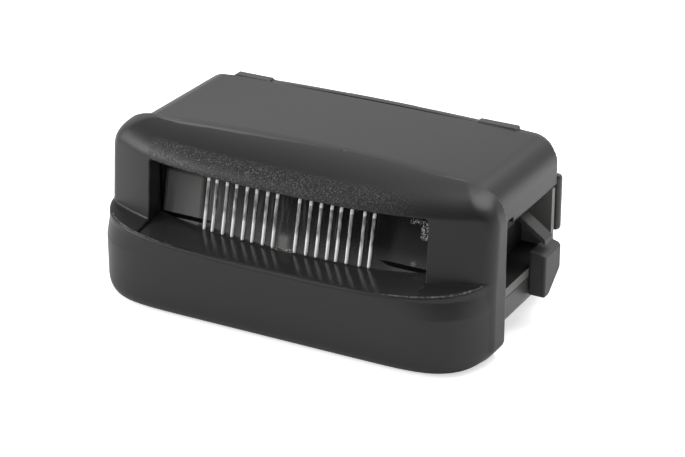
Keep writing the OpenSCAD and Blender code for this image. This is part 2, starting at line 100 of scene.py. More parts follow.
def skin(name, field, low, high, step):
    """Closed mesh of the surface where field is zero: one vertex per crossed cell, pulled onto the
    surface along the gradient, one quad per crossed grid edge, normals taken from the gradient."""
    axes = [np.arange(a - 1.5 * step, b + 2.5 * step, step) for a, b in zip(low, high)]
    n = [len(a) for a in axes]
    val = np.empty(n, np.float32)
    rows, columns = np.meshgrid(axes[1], axes[2], indexing="ij")
    for i, at in enumerate(axes[0]):
        val[i] = field(np.full_like(rows, at), rows, columns)
    inside = val < 0
    cell_index = -np.ones([k - 1 for k in n], np.int64)
    total = np.zeros([k - 1 for k in n], np.int16)
    for c in np.ndindex(2, 2, 2):
        total += inside[c[0]:n[0] - 1 + c[0], c[1]:n[1] - 1 + c[1], c[2]:n[2] - 1 + c[2]]
    cells = np.argwhere((total > 0) & (total < 8))
    cell_index[tuple(cells.T)] = np.arange(len(cells))
    spot = np.zeros((len(cells), 3))
    hits = np.zeros(len(cells))
    for axis in range(3):
        for c in np.ndindex(2, 2):
            a = cells.copy()
            others = [k for k in range(3) if k != axis]
            a[:, others[0]] += c[0]
            a[:, others[1]] += c[1]
            b = a.copy()
            b[:, axis] += 1
            va, vb = val[tuple(a.T)], val[tuple(b.T)]
            cut = (va < 0) != (vb < 0)
            t = np.where(cut, va / np.where(cut, va - vb, 1), 0)
            p = a.astype(float)
            p[:, axis] += t
            spot += p * cut[:, None]
            hits += cut
    spot = spot / hits[:, None]
    base = np.array([a[0] for a in axes])
    spot = base + spot * step
    middle = base + (cells + 0.5) * step
    e = 0.03

    def slope(p):
        return np.stack([field(*(p + d).T) - field(*(p - d).T) for d in e * np.eye(3)], 1) / (2 * e)

    far = 0.62 * step
    for _ in range(4):
        g = slope(spot)
        move = field(*spot.T)[:, None] * g / np.maximum((g * g).sum(1), 0.05)[:, None]
        spot = np.clip(spot - np.clip(move, -0.4 * step, 0.4 * step), middle - far, middle + far)
    g = slope(spot)
    normals = g / np.maximum(np.linalg.norm(g, axis=1), 1e-9)[:, None]
    quads = []
    for axis in range(3):
        u, v = (axis + 1) % 3, (axis + 2) % 3
        lo_side = [slice(1, k - 1) for k in n]
        hi_side = [slice(1, k - 1) for k in n]
        lo_side[axis] = slice(0, n[axis] - 1)
        hi_side[axis] = slice(1, n[axis])
        for sign in (True, False):
            first, second = inside[tuple(lo_side)], inside[tuple(hi_side)]
            where = np.argwhere((first & ~second) if sign else (~first & second))
            where = where + [0 if k == axis else 1 for k in range(3)]
            ring = []
            for du, dv in ((-1, -1), (0, -1), (0, 0), (-1, 0)):
                q = where.copy()
                q[:, u] += du
                q[:, v] += dv
                ring.append(cell_index[tuple(q.T)])
            quads.append(np.stack(ring if sign else ring[::-1], 1))
    quads = np.concatenate(quads)
    mesh = bpy.data.meshes.new(name)
    mesh.vertices.add(len(spot))
    mesh.vertices.foreach_set("co", ((spot + [0, rim_y, 0]) / 1000).astype(np.float32).ravel())
    mesh.loops.add(quads.size)
    mesh.loops.foreach_set("vertex_index", quads.ravel().astype(np.int32))
    mesh.polygons.add(len(quads))
    mesh.polygons.foreach_set("loop_start", np.arange(0, quads.size, 4, dtype=np.int32))
    mesh.polygons.foreach_set("use_smooth", np.ones(len(quads), bool))
    mesh.update(calc_edges=True)
    mesh.normals_split_custom_set_from_vertices(normals.astype(np.float32))
    obj = bpy.data.objects.new(name, mesh)
    bpy.context.scene.collection.objects.link(obj)
    return obj


def add(tree, kind, settings, links=()):
    """One shader node: each setting goes to the socket or property of its name, each link is
    (socket, node it comes from, that node's output)."""
    made = tree.nodes.new(kind)
    for key, value in settings.items():
        if isinstance(key, int) or key in made.inputs:
            made.inputs[key].default_value = value
        else:
            setattr(made, key, value)
    for socket, source, output in links:
        tree.links.new(source.outputs[output], made.inputs[socket])
    return made


def moulded(name, code, roughness, grain, depth, specular=0.5, coat=0.0, edge=0.0):
    """Moulded plastic: grain is the size and depth the height of its fine texture in millimetres, and
    edge the radius that the light sees along sharp edges."""
    mat = bpy.data.materials.new(name)
    mat.use_nodes = True
    tree = mat.node_tree
    shade = tree.nodes["Principled BSDF"]
    shade.inputs["Base Color"].default_value = colour(code)
    shade.inputs["Roughness"].default_value = roughness
    shade.inputs["Specular IOR Level"].default_value = specular
    shade.inputs["Coat Weight"].default_value = coat
    place = add(tree, "ShaderNodeTexCoord", {})
    noise = add(tree, "ShaderNodeTexNoise", {"Scale": 1000 / grain, "Detail": 2.0},
                [("Vector", place, "Object")])
    bump = add(tree, "ShaderNodeBump", {"Strength": 1.0, "Distance": depth / 1000},
               [("Height", noise, "Fac")])
    if edge:
        bevel = add(tree, "ShaderNodeBevel", {"Radius": edge / 1000, "samples": 6})
        tree.links.new(bevel.outputs["Normal"], bump.inputs["Normal"])
    tree.links.new(bump.outputs["Normal"], shade.inputs["Normal"])
    return mat


def arch(x):
    """Height of the hood's crest: a parabola over the width that falls a little to the right."""
    return 42.75 + 0.9 * np.maximum(0, 1 - (x / 44.4) ** 2) - 0.012 * x


def roof_height(x, y):
    """Height of the roof: a parabola over the width that flattens and falls towards the rear."""
    crown = 42.0 + 1.65 * np.maximum(0, 1 - (x / 44.4) ** 2)
    fall = 0.6 + 1.1 * np.maximum(0, 1 - (x / 44) ** 2)
    return crown - 0.15 - fall * np.clip(y, 0, roof_end) / roof_end


def face_at(x, z):
    """Depth of the face: it falls back with the cube of x and leans forward below the crease."""
    return -17.3 + sweep * (np.abs(x) / 50) ** 3 - 1.2 * np.clip((crease_z - z) / 15, 0, 1.2)


def chin_bow(x, z):
    """The chin's reach at a height, and its bow's share at x: a power of x over the half width. Both sizes
    shrink by a quarter circle at the foot, and the power falls towards the lip."""
    h = np.clip(z, 0, 21) / 21
    low = 1 - np.sqrt(1 - np.clip(1 - z / 5, 0, 1) ** 2)
    half = chin_half - 3.0 * low
    power = 8.5 + 1.5 * low - 2 * np.clip((z - 15) / 4, 0, 1)
    reach = chin_reach - 3.0 * low - 0.3 * (1 - h)
    return reach, (np.abs(x) / half) ** power


def lip_at(x):
    """Depth of the lip: the chin's bow just under its upper edge."""
    reach, part = chin_bow(x, 20 + 0 * x)
    return -reach * np.sqrt(np.maximum(0, 1 - part))


def lip_height(x):
    """Height of the lip: it rises from its middle to its ends with a power of x."""
    return lip_mid + 3.0 * (np.abs(x) / 50) ** 2.1


def chin_form(x, y, z):
    """Chin: on its surface the bow's share and the squared depth over the reach add up to one."""
    reach, part = chin_bow(x, z)
    return np.sqrt(part + (np.maximum(-y, 0) / reach) ** 2) - 1


def hood_form(x, y, z):
    """Hood: a quarter of a superellipse of power 1.8 from the crease up to the crest."""
    rise = np.maximum(z - crease_z, 0) / (arch(x) - crease_z)
    reach = np.maximum(-y, 0) / -face_at(x, crease_z + 0 * z)
    return (rise ** 1.8 + reach ** 1.8) ** (1 / 1.8) - 1


def cover_field(x, y, z):
    """Whole cover: the cap of face, hood and chin, the roof band behind it, less the window, the pocket
    of the lens tray and a small notch at the front of each side band."""
    lens_x = x
    x = x + cover_x
    chin_x = x + 0.3
    roof_x = x + 0.2
    roof_top = roof_height(roof_x, y)
    # In the middle the crest sinks to the roof before the two meet, so that no step shows there.
    sink = np.clip((y + 7) / 5, 0, 1)
    sink = sink * sink * (3 - 2 * sink) * np.clip((46 - np.abs(x)) / 12, 0, 1)
    crest = arch(x) + (roof_top - arch(x)) * sink
    side = np.abs(x) - half_w
    outline = np.maximum(round_max(side, z - crest, 8.5), round_max(np.abs(chin_x) - chin_half, -z, 6))
    # The face's field is divided by the length of its gradient, which the sweep makes longer than one.
    slope = 3 * sweep * x * x / 50 ** 3
    face = (face_at(x, z) - y) / np.sqrt(1.01 + slope * slope)
    front = np.where(z > crease_z, unit(hood_form, x, y, z), face)
    soft = np.clip((np.abs(x) - 40) / 8, 0, 1)
    upper = round_max(np.maximum(outline, side), front, 0.02 + 2.5 * soft * soft * (3 - 2 * soft))
    # The chin's top is a shelf that rises from the lip to the foot of the face.
    chin = round_max(unit(chin_form, chin_x, y, z), outline, 0.8)
    foot = face_at(x, 21.5 + 0 * z)
    lip = lip_height(x)
    along = np.clip((y - lip_at(x)) / np.maximum(foot - lip_at(x), 0.5), 0, 1)
    chin = round_max(chin, (z - lip - (shelf_z - lip) * along) / 1.12, 0.5)
    cap = round_max(round_min(upper, chin, 0.35), y + 1.5, 0.4)
    # The roof is a shell 2 mm thick, open below, whose front edge dives under the hood.
    dive = 0.6 * np.clip(-1.8 - y, 0, 1.2)
    roof = round_max(np.abs(roof_x) - roof_half, z - roof_top + dive, 6.2)
    band = np.maximum(round_max(roof, band_z - z, 0.3), -(roof + 2))
    band = np.maximum(round_max(band, y - roof_end, 0.3), -3 - y)
    body = round_min(cap, band, 0.15)
    window = block(lens_x, y, z, (-window_half, -60, 17.5), (window_half, 60, crease_z), 0.8)
    window = np.maximum(window, np.maximum(y - room_back, 21.4 - z))
    body = round_max(body, -window, 0.3)
    pocket = np.maximum(np.abs(lens_x) - window_half, np.maximum(pocket_z - z, z - 22))
    pocket = np.maximum(pocket, np.maximum(lip_at(x) + 1.0 - y, y - room_back))
    body = round_max(body, -pocket, 0.15)
    notch = block(np.abs(roof_x), y, z, (46.7, 3.0, 28), (51, 7.8, 31.0), 0.3)
    return np.maximum(body, -notch)


# The step keeps the mesh just under 200,000 triangles.
cover = skin("cover_skin", cover_field, (-53, -22.6, 0), (51.9, roof_end, 44.2), 0.52)
black = moulded("satin_black_abs", "#202020", 0.42, 0.5, 0.003, specular=0.4)
# The brow is spark-eroded in the mould: a coarse grain. In a band where the highlight falls, its raised
# specks get a painted highlight, a lighter base colour that is strongest on the left and fades to the
# right.
tree = black.node_tree
place = add(tree, "ShaderNodeTexCoord", {})
axes = add(tree, "ShaderNodeSeparateXYZ", {}, [("Vector", place, "Object")])
above = add(tree, "ShaderNodeMapRange", {"From Min": 0.0360, "From Max": 0.0368}, [("Value", axes, "Z")])
below = add(tree, "ShaderNodeMapRange", {"From Min": 0.0412, "From Max": 0.0398}, [("Value", axes, "Z")])
ahead = add(tree, "ShaderNodeMapRange", {"From Min": -0.0158, "From Max": -0.0166}, [("Value", axes, "Y")])
along = add(tree, "ShaderNodeMapRange", {"From Min": 0.036, "From Max": -0.004, "To Min": 0.02},
            [("Value", axes, "X")])
start = add(tree, "ShaderNodeMapRange", {"From Min": -0.0385, "From Max": -0.034}, [("Value", axes, "X")])
glint_band = above
for other in (below, ahead, along, start):
    glint_band = add(tree, "ShaderNodeMath", {"operation": "MULTIPLY"}, [(0, glint_band, 0), (1, other, 0)])
speck = add(tree, "ShaderNodeTexNoise", {"Scale": 1000 / 0.34, "Detail": 2.0},
            [("Vector", place, "Object")])
peaks = add(tree, "ShaderNodeMapRange", {"From Min": 0.52, "From Max": 0.68}, [("Value", speck, "Fac")])
grain_and_painted_glint = add(tree, "ShaderNodeMath", {"operation": "MULTIPLY"}, [(0, glint_band, 0), (1, peaks, 0)])
# Painted highlight: the specks inside the band are mixed towards a light grey.
painted_glint_colour = add(tree, "ShaderNodeMix", {"data_type": "RGBA", "A": colour("#202020"), "B": colour("#636362")},
           [("Factor", grain_and_painted_glint, 0)])
shade = tree.nodes["Principled BSDF"]
tree.links.new(painted_glint_colour.outputs["Result"], shade.inputs["Base Color"])
rough = add(tree, "ShaderNodeBump", {"Strength": 1.0, "Distance": 0.00018}, [("Height", grain_and_painted_glint, 0)])
tree.links.new(tree.nodes["Bump"].outputs["Normal"], rough.inputs["Normal"])
tree.links.new(rough.outputs["Normal"], shade.inputs["Normal"])
cover.data.materials.append(black)
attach(cover, "root")
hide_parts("cover")


# Lens: clear moulded acrylic, a leaning shell behind the window with two groups of eight upright ribs.
# It is painted near black and mostly opaque, a painted shade of the dark room behind it, and carries a few
# painted glints at its corners and between its rib groups. Its flange is held between the cover and the
# light chamber.
lens_low_z, lens_high_z = 18.6, 36.2  # lower and upper edge of the lens
lens_wall = 1.4
rib_z = 19.2  # foot of the ribs
rib_tall = 13.0
rib_r = 0.42
rib_places = (-24.6, -22.2, -19.2, -16.5, -13.5, -10.8, -7.8, -5.1,
              0.9, 3.9, 6.6, 9.4, 11.8, 14.5, 17.8, 20.2)


def loft(rings):
    """Points and faces of a closed tube through rings of equal point counts: one quad between each pair of
    neighbours, the first and last ring closed by one face each, all turned outwards."""
    n, m = rings.shape[:2]
    i = np.arange(n - 1)[:, None] * m
    j = np.arange(m)
    k = (j + 1) % m
    quads = np.stack([i + j, i + k, i + m + k, i + m + j], -1).reshape(-1, 4)
    faces = quads.tolist() + [j[::-1].tolist(), ((n - 1) * m + j).tolist()]
    points = rings.reshape(-1, 3)
    a, b, c = points[quads[:, 0]], points[quads[:, 1]], points[quads[:, 2]]
    middle = points.mean(0)
    if np.einsum("ij,ij->i", a - middle, np.cross(b - a, c - a)).sum() < 0:
        faces = [f[::-1] for f in faces]
    return points, faces


def solid(name, parts, sharp=35):
    """Mesh object of several (rings, material number) lofts, rim millimetres turned to frame metres."""
    points, faces, numbers = [], [], []
    start = 0
    for rings, number in parts:
        p, f = loft(np.asarray(rings, float))
        points.append(p)
        faces += [[v + start for v in face] for face in f]
        numbers += [number] * len(f)
        start += len(p)
    mesh = bpy.data.meshes.new(name)
    mesh.from_pydata((np.concatenate(points) + [0, rim_y, 0]) / 1000, [], faces)
    mesh.polygons.foreach_set("material_index", numbers)
    mesh.polygons.foreach_set("use_smooth", np.ones(len(faces), bool))
    mesh.set_sharp_from_angle(angle=math.radians(sharp))
    obj = bpy.data.objects.new(name, mesh)
    bpy.context.scene.collection.objects.link(obj)
    return obj


def lens_front(x, z):
    """Depth of the lens front: its foot bows with the square of x, and it leans back with the height."""
    foot = -11.2 + 1.3 * np.minimum(np.abs(x) / 25, 1) ** 2
    return foot + 3.1 * (z - 19.3) / rib_tall


xs = np.linspace(-36.7, 36.7, 61)[:, None]
zs = np.linspace(lens_low_z, lens_high_z, 13)[None]
front = np.stack([xs + 0 * zs, lens_front(xs, zs), zs + 0 * xs], -1)
lens_parts = [(np.concatenate([front, front[:, ::-1] + [0, lens_wall, 0]], 1), 0)]
turn = np.linspace(0, 2 * np.pi, 12, endpoint=False)
height = np.array([0, 0.03, 0.12, 0.3, 0.6, 4, 8, 12, 12.4, 12.7, 12.88, 12.97, rib_tall])
# Each rib is a rod with half-round ends: in the last 0.42 mm its girth follows a quarter circle.
end_share = np.clip((np.abs(height - rib_tall / 2) - rib_tall / 2 + rib_r) / rib_r, 0, 1)
girth = rib_r * np.sqrt(np.maximum(1 - end_share ** 2, 0.002))[:, None]
for rib_x in rib_places:
    z = rib_z + height[:, None]
    y = lens_front(rib_x, z) - 0.1
    ring = np.stack([rib_x + girth * np.cos(turn), y + girth * np.sin(turn), z + 0 * turn], -1)
    lens_parts.append((ring, 1))
lens = solid("lens_clear", lens_parts)

shaded_clear_acrylic = bpy.data.materials.new("clear_acrylic")
shaded_clear_acrylic.use_nodes = True
tree = shaded_clear_acrylic.node_tree
shade = tree.nodes["Principled BSDF"]
shade.inputs["Roughness"].default_value = 0.06
place = add(tree, "ShaderNodeTexCoord", {})
axes = add(tree, "ShaderNodeSeparateXYZ", {}, [("Vector", place, "Object")])
glint_noise = add(tree, "ShaderNodeTexNoise", {"Scale": 1000 / 0.3, "Detail": 4.0}, [("Vector", place, "Object")])
glint_spots = add(tree, "ShaderNodeMapRange", {"From Min": 0.50, "From Max": 0.62}, [("Value", glint_noise, "Fac")])


def patch(low_x, high_x, low_z, high_z, soft=0.0003):
    """1 inside an upright rectangle of the lens, 0 outside, rising over soft, all in metres."""
    parts = [("X", low_x, low_x + soft), ("X", high_x, high_x - soft), ("Z", low_z, low_z + soft),
             ("Z", high_z, high_z - soft)]
    made = None
    for axis, a, b in parts:
        step = add(tree, "ShaderNodeMapRange", {"From Min": a, "From Max": b}, [("Value", axes, axis)])
        made = step if made is None else add(tree, "ShaderNodeMath", {"operation": "MULTIPLY"},
                                             [(0, made, 0), (1, step, 0)])
    return made


# Painted glints: rough white patches at the lens's corners and between the two groups of ribs, on a colour
# painted near black as shade.
painted_glint_patches = patch(0.0290, 0.0343, 0.0312, 0.0326)
for box in ((0.0320, 0.0345, 0.0280, 0.0326), (0.0344, 0.0348, 0.0215, 0.0290),
            (-0.0366, -0.0336, 0.0322, 0.0333), (-0.0056, 0.0005, 0.0188, 0.0199)):
    painted_glint_patches = add(tree, "ShaderNodeMath", {"operation": "MAXIMUM"}, [(0, painted_glint_patches, 0), (1, patch(*box), 0)])
white = add(tree, "ShaderNodeMath", {"operation": "MULTIPLY"}, [(0, painted_glint_patches, 0), (1, glint_spots, 0)])
tint = add(tree, "ShaderNodeMix", {"data_type": "RGBA", "A": colour("#0c0c0c"), "B": colour("#d6d6d4")},
           [("Factor", white, 0)])
# Lighter grey patches: the left end, a painted light of the lit chamber wall behind it, two small patches,
# fine streaks between the ribs and a lighter foot.
grey_and_painted_light = patch(-0.0368, -0.0256, 0.0190, 0.0322, 0.0012)
for box in ((-0.0045, -0.0003, 0.0186, 0.0235, 0.0014), (0.0300, 0.0322, 0.0212, 0.0232, 0.0009)):
    grey_and_painted_light = add(tree, "ShaderNodeMath", {"operation": "MAXIMUM"}, [(0, grey_and_painted_light, 0), (1, patch(*box), 0)])
stretch = add(tree, "ShaderNodeMapping", {"Scale": (1.0, 0.2, 0.07)}, [("Vector", place, "Object")])
threads = add(tree, "ShaderNodeTexNoise", {"Scale": 1000 / 0.8, "Detail": 1.0}, [("Vector", stretch, 0)])
thread = add(tree, "ShaderNodeMapRange", {"From Min": 0.55, "From Max": 0.72, "To Max": 0.35},
             [("Value", threads, "Fac")])
between = add(tree, "ShaderNodeMath", {"operation": "MULTIPLY"},
              [(0, thread, 0), (1, patch(-0.0262, 0.0215, 0.0185, 0.0325), 0)])
grey_and_painted_light = add(tree, "ShaderNodeMath", {"operation": "MAXIMUM"}, [(0, grey_and_painted_light, 0), (1, between, 0)])
lighter_foot = add(tree, "ShaderNodeMapRange", {"From Min": 0.0250, "From Max": 0.0200, "To Max": 0.25},
               [("Value", axes, "Z")])
grey_and_painted_light = add(tree, "ShaderNodeMath", {"operation": "MAXIMUM"}, [(0, grey_and_painted_light, 0), (1, lighter_foot, 0)])
tint = add(tree, "ShaderNodeMix", {"data_type": "RGBA", "B": colour("#6a6b69")},
           [("A", tint, "Result"), ("Factor", grey_and_painted_light, 0)])
# Painted shade: alpha keeps the lens mostly opaque, so its near-black colour darkens the room behind; the
# painted glints are fully opaque.
cloud = add(tree, "ShaderNodeMapRange", {"To Min": 0.85, "To Max": 1.0}, [("Value", white, 0)])
tree.links.new(tint.outputs["Result"], shade.inputs["Base Color"])
tree.links.new(cloud.outputs[0], shade.inputs["Alpha"])
lens.data.materials.append(shaded_clear_acrylic)

# The ribs get painted highlights: their colour turns white at both ends and in streaks along them.
rib_mat = bpy.data.materials.new("polished_acrylic_rib")
rib_mat.use_nodes = True
tree = rib_mat.node_tree
shade = tree.nodes["Principled BSDF"]
shade.inputs["Roughness"].default_value = 0.12
place = add(tree, "ShaderNodeTexCoord", {})
axes = add(tree, "ShaderNodeSeparateXYZ", {}, [("Vector", place, "Object")])
streak = add(tree, "ShaderNodeMapping", {"Scale": (1.0, 1.0, 0.25)}, [("Vector", place, "Object")])
noise = add(tree, "ShaderNodeTexNoise", {"Scale": 1000 / 0.8, "Detail": 2.0}, [("Vector", streak, 0)])
foot = add(tree, "ShaderNodeMapRange", {"From Min": 0.0252, "From Max": 0.0225}, [("Value", axes, "Z")])
top = add(tree, "ShaderNodeMapRange", {"From Min": 0.0309, "From Max": 0.0313}, [("Value", axes, "Z")])
ends = add(tree, "ShaderNodeMath", {"operation": "MAXIMUM"}, [(0, foot, 0), (1, top, 0)])
painted_highlight_share = add(tree, "ShaderNodeMath", {"operation": "MULTIPLY_ADD", 1: 0.7},
                 [(0, ends, 0), (2, noise, "Fac")])
glow = add(tree, "ShaderNodeMapRange", {"From Min": 0.35, "From Max": 0.95}, [("Value", painted_highlight_share, 0)])
tint = add(tree, "ShaderNodeMix", {"data_type": "RGBA", "A": colour("#6e6f6e"), "B": colour("#ffffff")},
           [("Factor", glow, 0)])
tree.links.new(tint.outputs["Result"], shade.inputs["Base Color"])
lens.data.materials.append(rib_mat)
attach(lens, "root")
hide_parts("lens")


# Light chamber: box of moulded polypropylene behind the lens, its ends turned inwards, pushed onto the
# carrier. Its inside is painted near black as shade and its left end painted pale as lit; with the pale
# ledge at its foot, these are all that shows through the lens.
chamber_low, chamber_high = (-37.8, -5, 17.2), (37.8, 24, 37.6)


def chamber_field(x, y, z):
    """Box less a cavity whose ends close in towards the back and whose foot is a ledge."""
    box = block(x, y, z, chamber_low, chamber_high, 0.3)
    ends = np.abs(x) - 36.6 + np.clip(y + 5.5, 0, 5) * 1.8
    room = np.maximum(np.maximum(ends / 1.5, np.maximum(19.2 - z, z - 36.2)), y - 20)
    return np.maximum(box, -room)


chamber = skin("chamber_skin", chamber_field, chamber_low, chamber_high, 0.8)
pale = moulded("grey_polypropylene", "#3a3a3a", 0.35, 0.6, 0.003)
tree = pale.node_tree
place = add(tree, "ShaderNodeTexCoord", {})
axes = add(tree, "ShaderNodeSeparateXYZ", {}, [("Vector", place, "Object")])
left = add(tree, "ShaderNodeMapRange", {"From Min": -0.0262, "From Max": -0.0275}, [("Value", axes, "X")])
ledge = add(tree, "ShaderNodeMapRange", {"From Min": 0.0201, "From Max": 0.0194}, [("Value", axes, "Z")])
either = add(tree, "ShaderNodeMath", {"operation": "MAXIMUM"}, [(0, left, 0), (1, ledge, 0)])
# Painted shade and light: near black inside, pale on the lit left end and on the ledge.
tint = add(tree, "ShaderNodeMix", {"data_type": "RGBA", "A": colour("#0e0e0e"), "B": colour("#b5b5b3")},
           [("Factor", either, 0)])
tree.links.new(tint.outputs["Result"], tree.nodes["Principled BSDF"].inputs["Base Color"])
chamber.data.materials.append(pale)
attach(chamber, "root")
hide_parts("reflector")

# Parting line of the mould: a fine ridge along the lip, moulded in one with the cover, with lighter specks
# painted on it as the highlight along the lip's edge. It is a thin rod sunk into the lip, of which only the
# crest shows.
ridge_r = 0.28
xs = np.linspace(-47, 48, 120)[:, None]
turn = np.linspace(0, 2 * np.pi, 8, endpoint=False)
ridge = np.stack([xs + 0 * turn, lip_at(xs + cover_x) + 0.6 + ridge_r * np.cos(turn),
                  lip_height(xs + cover_x) - 0.06 + ridge_r * np.sin(turn)], -1)
lip_edge = solid("cover_lip_edge", [(ridge, 0)], sharp=180)
lip_glint_abs = moulded("rough_black_abs", "#202020", 0.5, 0.3, 0.01)
tree = lip_glint_abs.node_tree
place = add(tree, "ShaderNodeTexCoord", {})
noise = add(tree, "ShaderNodeTexNoise", {"Scale": 1000 / 0.9, "Detail": 3.0}, [("Vector", place, "Object")])
part = add(tree, "ShaderNodeMapRange", {"From Min": 0.42, "From Max": 0.62}, [("Value", noise, "Fac")])
# Painted highlight: the ridge's specks are light grey where the noise is high.
tint = add(tree, "ShaderNodeMix", {"data_type": "RGBA", "A": colour("#242424"), "B": colour("#686867")},
           [("Factor", part, 0)])
tree.links.new(tint.outputs["Result"], tree.nodes["Principled BSDF"].inputs["Base Color"])
lip_edge.data.materials.append(lip_glint_abs)
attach(lip_edge, "root")

# Lens tray: polished black acrylic shelf between the chin's lip and the foot of the lens, pressed into the
# cover's pocket. Its top runs level from the lip to the lens and rises a little at both ends.
xs = np.linspace(-36.8, 36.8, 81)
start = lip_at(xs + cover_x) + 1.05
level = lip_height(xs + cover_x) - 0.15
end = np.maximum(lens_front(xs, 19) + 0.8, start + 0.6)
share = np.array([0, 0.02, 0.08, 0.3, 0.6, 0.9, 1.0])
top_y = start[:, None] + (end - start)[:, None] * share
back = 19.0 + 2.1 * (np.abs(xs) / 35) ** 4
top_z = level[:, None] + (back - level)[:, None] * share - np.array([0.3, 0, 0, 0, 0, 0, 0])
rings = np.stack([np.repeat(xs[:, None], 7, 1), top_y, top_z], -1)
under = rings[:, ::-1] * [1, 1, 0] + [0, 0, pocket_z + 0.2]
tray = solid("tray_polished", [(np.concatenate([rings, under], 1), 0)])
gloss = moulded("polished_black_acrylic", "#303130", 0.18, 3.0, 0.004, specular=0.5, coat=0.1)
tray.data.materials.append(gloss)
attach(tray, "root")
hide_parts("lens_tray")


def dress(names, mat):
    """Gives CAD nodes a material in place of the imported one."""
    for name in names:
        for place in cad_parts[name].material_slots:
            place.material = mat


# Base: dark grey nylon floor with its side walls, screwed to the rear plate. The CAD piece keeps its shape.
dress(["base"], moulded("dark_grey_nylon", "#424341", 0.42, 0.5, 0.004, edge=0.35))


# Rear plate: flat plate of dark grey nylon that closes the housing, held by four screws. Two ears stand out
# at its sides, and two tabs reach over the gap to the roof.
def plate_field(x, y, z):
    """Rounded slab, with a tab box at the roof on each side and an ear box at each end."""
    top = 40.4 + 1.1 * np.maximum(0, 1 - (x / 44) ** 2)
    slab = round_max(round_max(np.abs(x) - 46.6, z - top, 5.5), 4.7 - z, 1.5)
    slab = round_max(slab, np.abs(y - 34.85) - 1.15, 0.4)
    left = block(x, y, z, (-41.2, 32.9, 39), (-31, 35.8, 41.5), 0.3)
    right = block(x, y, z, (26.6, 32.9, 39), (37.2, 35.8, 41.75), 0.3)
    ears = block(np.abs(x), y, z, (44, 33.4, 16.9), (48.9, 35.9, 31.6), 1.1)
    out = np.minimum(np.minimum(slab, ears), np.minimum(left, right))
    return np.maximum(out, -block(x, y, z, (-9.2, 20, 7), (9.2, 40, 20.6), 0.3))


plate = skin("rear_plate_skin", plate_field, (-49, 32.9, 4.7), (49, 36, 41.8), 0.5)
plate.data.materials.append(moulded("grey_nylon", "#333432", 0.42, 0.5, 0.004))
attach(plate, "root")
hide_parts("rear_plate")

# Carrier and connector socket: nylon mouldings inside the housing, clipped to the base. The socket is
# black; the carrier is painted near black in the side openings as their shade, and its back wall and sill
# are dark grey. The CAD pieces keep their shapes.
nylon = moulded("black_nylon", "#141414", 0.5, 0.5, 0.004, edge=0.3)
dress(["connector_socket"], nylon)
carrier_painted_shade = moulded("carrier_nylon", "#141414", 0.5, 0.5, 0.004, edge=0.3)
tree = carrier_painted_shade.node_tree
place = add(tree, "ShaderNodeTexCoord", {})
axes = add(tree, "ShaderNodeSeparateXYZ", {}, [("Vector", place, "Object")])
behind = add(tree, "ShaderNodeMath", {"operation": "GREATER_THAN", 1: 0.0228}, [(0, axes, "Y")])
low = add(tree, "ShaderNodeMath", {"operation": "LESS_THAN", 1: 0.01445}, [(0, axes, "Z")])
either = add(tree, "ShaderNodeMath", {"operation": "MAXIMUM"}, [(0, behind, 0), (1, low, 0)])
# Painted shade: near black in the openings, dark grey on the back wall and the sill.
tint = add(tree, "ShaderNodeMix", {"data_type": "RGBA", "A": colour("#0c0c0c"), "B": colour("#6e6f6c")},
           [("Factor", either, 0)])
tree.links.new(tint.outputs["Result"], tree.nodes["Principled BSDF"].inputs["Base Color"])
dress(["carrier"], carrier_painted_shade)


# Latches: springs of dark grey acetal, each a thumb block on a thin sloping arm whose foot is clipped to
# the carrier. The left one mirrors the right one.
def latch_field(x, y, z):
    """Rounded thumb block with a sloping foot and back corner, joined to a slanted strip and its foot."""
    block_part = block(x, y, z, (49, 16.3, 7.4), (53.3, 26.0, 19.2), 0.45)
    block_part = round_max(block_part, (9.4 + 0.75 * (y - 21.5) - z) / 1.25, 0.4)
    block_part = round_max(block_part, (x - 53.3 + y - 26.0 + 0.9) / 1.414, 0.3)
    block_part = round_max(block_part, (z - 19.2 + 0.25 * (x - 49)) / 1.03, 0.4)
    t = np.clip((x - 42.4) / 8.4, 0, 1.2)
    line = 28.7 - 6.0 * t
    strip = np.maximum(np.abs(z - line + 0.6) / 1.22 - 0.65, np.maximum(41.2 - x, x - 52.3))
    strip = np.maximum(strip, np.abs(y - 19.9) - 2.1)
    foot = block(x, y, z, (41.1, 17.8, 22.4), (42.5, 22.0, 28.4), 0.2)
    return np.minimum(round_min(block_part, strip, 0.3), foot)


acetal = moulded("dark_acetal", "#3a3b3a", 0.5, 0.5, 0.004, specular=0.35)
for name, sign, low_x, high_x in (("latch_right", 1, 41, 53.4), ("latch_left", -1, -53.4, -41)):
    latch = skin(name + "_skin", lambda x, y, z: latch_field(sign * x, y, z),
                 (low_x, 16, 7.2), (high_x, 26.1, 29.4), 0.3)
    latch.data.materials.append(acetal)
    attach(latch, "root")
    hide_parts(name)

# Seals: black rubber rings, pressed between their parts. The one of the rear plate shows as a dark line
# along the roof's rear edge.
rubber = moulded("seal_rubber", "#060606", 0.8, 0.3, 0.01, specular=0.1)
dress(["lens_seal"], rubber)


def seal_field(x, y, z):
    """Frame between two rounded outlines, a little below the roof."""
    top = 40.3 + 1.1 * np.maximum(0, 1 - (x / 44) ** 2)
    ring = round_max(round_max(np.abs(x) - 46.0, z - top, 5.2), 5.4 - z, 1.5)
    ring = np.maximum(ring, -(ring + 1.6))
    return np.maximum(ring, np.abs(y - 33.9) - 1.3)


seal = skin("plate_seal_skin", seal_field, (-46.2, 32.5, 5.3), (46.2, 35.3, 42.2), 0.45)
seal.data.materials.append(rubber)
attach(seal, "root")
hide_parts("plate_seal")


